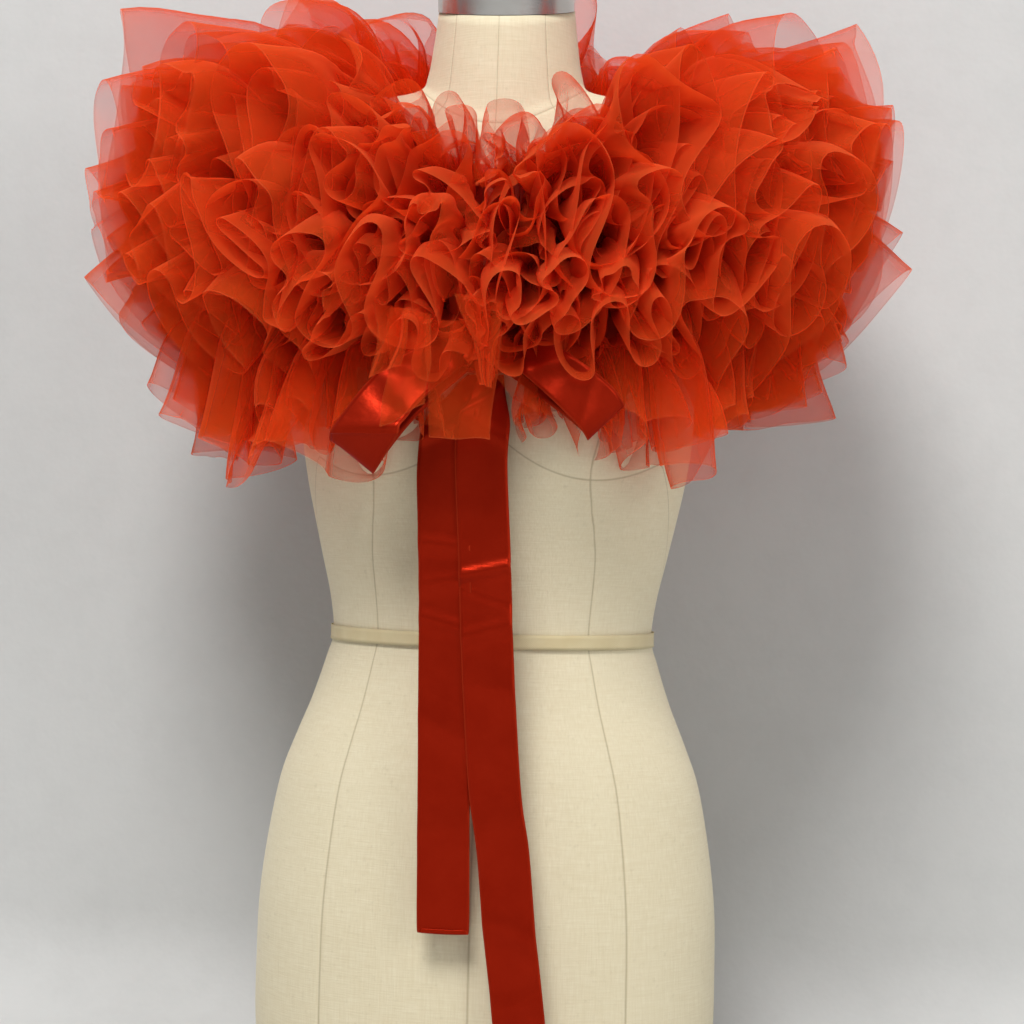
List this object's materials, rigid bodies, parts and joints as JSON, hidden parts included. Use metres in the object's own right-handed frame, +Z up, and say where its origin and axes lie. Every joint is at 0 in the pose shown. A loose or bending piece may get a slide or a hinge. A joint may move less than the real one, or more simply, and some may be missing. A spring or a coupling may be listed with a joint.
{
  "type": "ruffled tulle bolero with satin ribbon ties, worn on a limbless dress form",
  "caption": "Shoulder-covering bolero of gathered tulle rows on a net yoke, tied at the front with a satin bow, resting on a linen torso dress form.",
  "frame": {"origin": "centre of the flat board under the dress form", "axes": "+Z up, -Y to the front where the bow is, +X to the wearer's left"},
  "size_m": [0.6579, 0.4383, 0.8986],
  "materials": {
    "tulle": "fine sheer nylon tulle, matt with a faint sheen, orange red",
    "yoke_net": "fine firm net, matt, orange red",
    "satin": "satin ribbon, soft gloss, deep orange red",
    "linen": "plain linen cover, matt, natural beige",
    "twill_tape": "cotton twill tape, matt, cream",
    "neck_cap": "polished steel"
  },
  "bodies": {
    "root": {"ruffle_1_left": "tulle", "ruffle_1_right": "tulle", "ruffle_2_left": "tulle", "ruffle_2_right": "tulle", "ruffle_3_left": "tulle", "ruffle_3_right": "tulle", "ruffle_4_left": "tulle", "ruffle_4_right": "tulle", "ruffle_5_left": "tulle", "ruffle_5_right": "tulle", "ruffle_6_left": "tulle", "ruffle_6_right": "tulle", "yoke_front_left": "yoke_net", "yoke_front_right": "yoke_net", "yoke_back": "yoke_net", "bow_knot": "satin", "bow_loop_left": "satin", "bow_loop_right": "satin", "tie_tail_short": "satin", "tie_tail_long": "satin", "form_body": "linen", "form_waist_tape": "twill_tape", "form_neck_cap": "neck_cap"}
  },
  "joints": []
}
